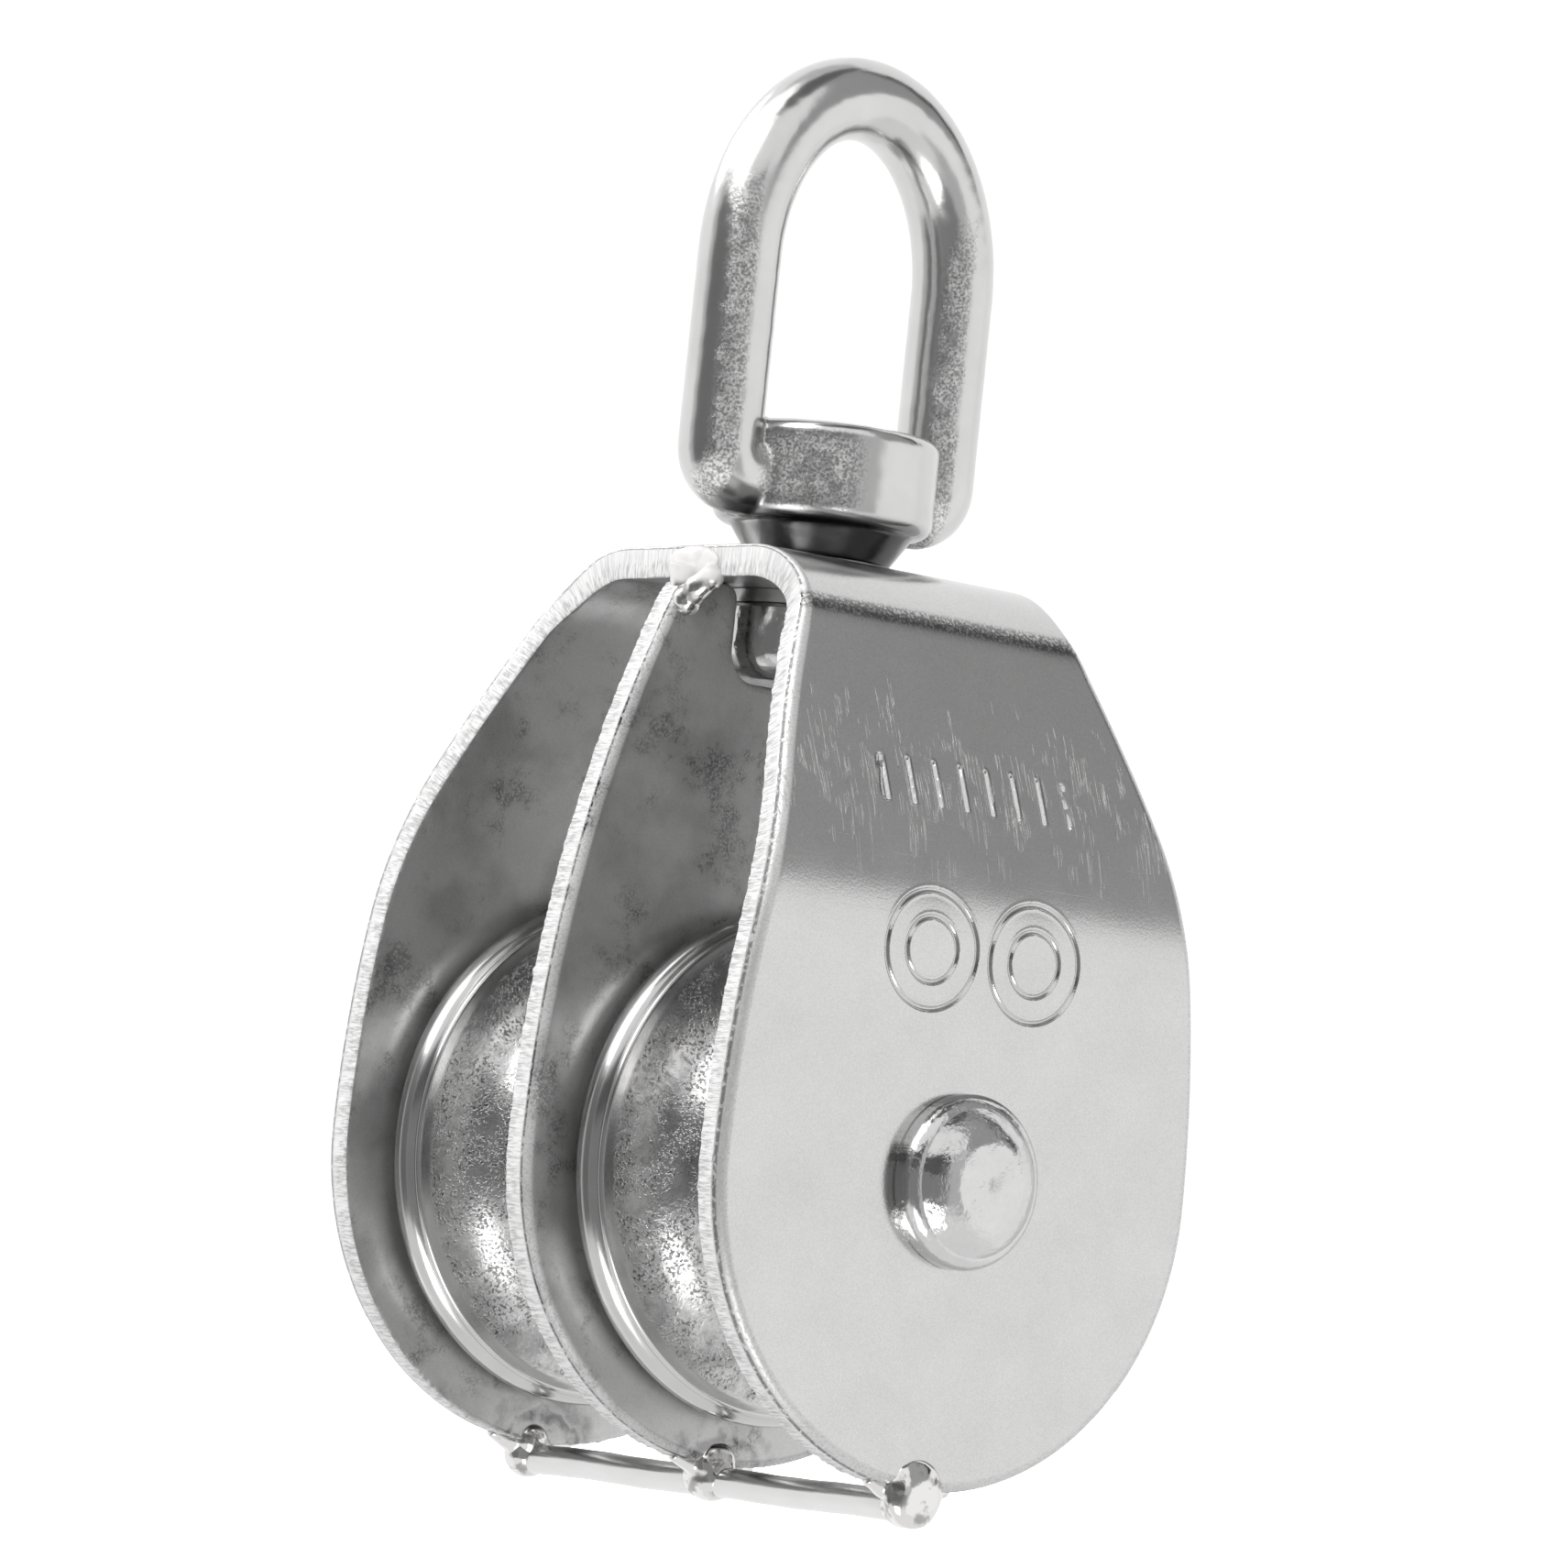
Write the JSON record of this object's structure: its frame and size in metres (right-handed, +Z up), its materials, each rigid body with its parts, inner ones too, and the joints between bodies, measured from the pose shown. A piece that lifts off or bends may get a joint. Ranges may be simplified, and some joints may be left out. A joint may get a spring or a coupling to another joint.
{
  "type": "double sheave block",
  "caption": "Bent-sheet double sheave block: side-by-side grooved wheels on one axle, a centre plate, a welded tie rod and an oval swivel eye.",
  "frame": {"origin": "middle of the axle, half-way between the cheeks", "axes": "+X along the axle towards the stamped cheek, +Z up through the eye along the swivel axis, -Y the open front with the visible top weld"},
  "size_m": [0.0448, 0.0374, 0.0909],
  "materials": {
    "shell": "polished stainless sheet",
    "sheave": "polished stainless, lightly mottled in the groove",
    "eye": "polished cast stainless",
    "axle": "polished stainless",
    "bush": "machined bronze",
    "washer": "plain stainless",
    "weld": "smooth bright weld metal"
  },
  "bodies": {
    "block": {"outer_shell": "shell", "centre_plate": "shell", "axle_pin": "axle", "left_outer_washer": "washer", "left_inner_washer": "washer", "right_inner_washer": "washer", "right_outer_washer": "washer", "swivel_washer": "washer", "bottom_rod": "axle", "top_weld_front": "weld", "top_weld_back": "weld", "bottom_weld_left": "weld", "bottom_weld_centre": "weld", "bottom_weld_right": "weld"},
    "swivel": {"swivel_eye": "eye", "swivel_stud": "axle"},
    "left_wheel": {"left_sheave": "sheave", "left_bush": "bush"},
    "right_wheel": {"right_sheave": "sheave", "right_bush": "bush"}
  },
  "joints": [
    {"name": "eye_swivel", "type": "hinge", "parent": "block", "child": "swivel", "pos_m": [0, 0, 0.0375], "axis": [0, 0, 1], "continuous": true},
    {"name": "left_sheave_spin", "type": "hinge", "parent": "block", "child": "left_wheel", "pos_m": [-0.00925, 0, 0], "axis": [1, 0, 0], "continuous": true},
    {"name": "right_sheave_spin", "type": "hinge", "parent": "block", "child": "right_wheel", "pos_m": [0.00925, 0, 0], "axis": [1, 0, 0], "continuous": true}
  ]
}
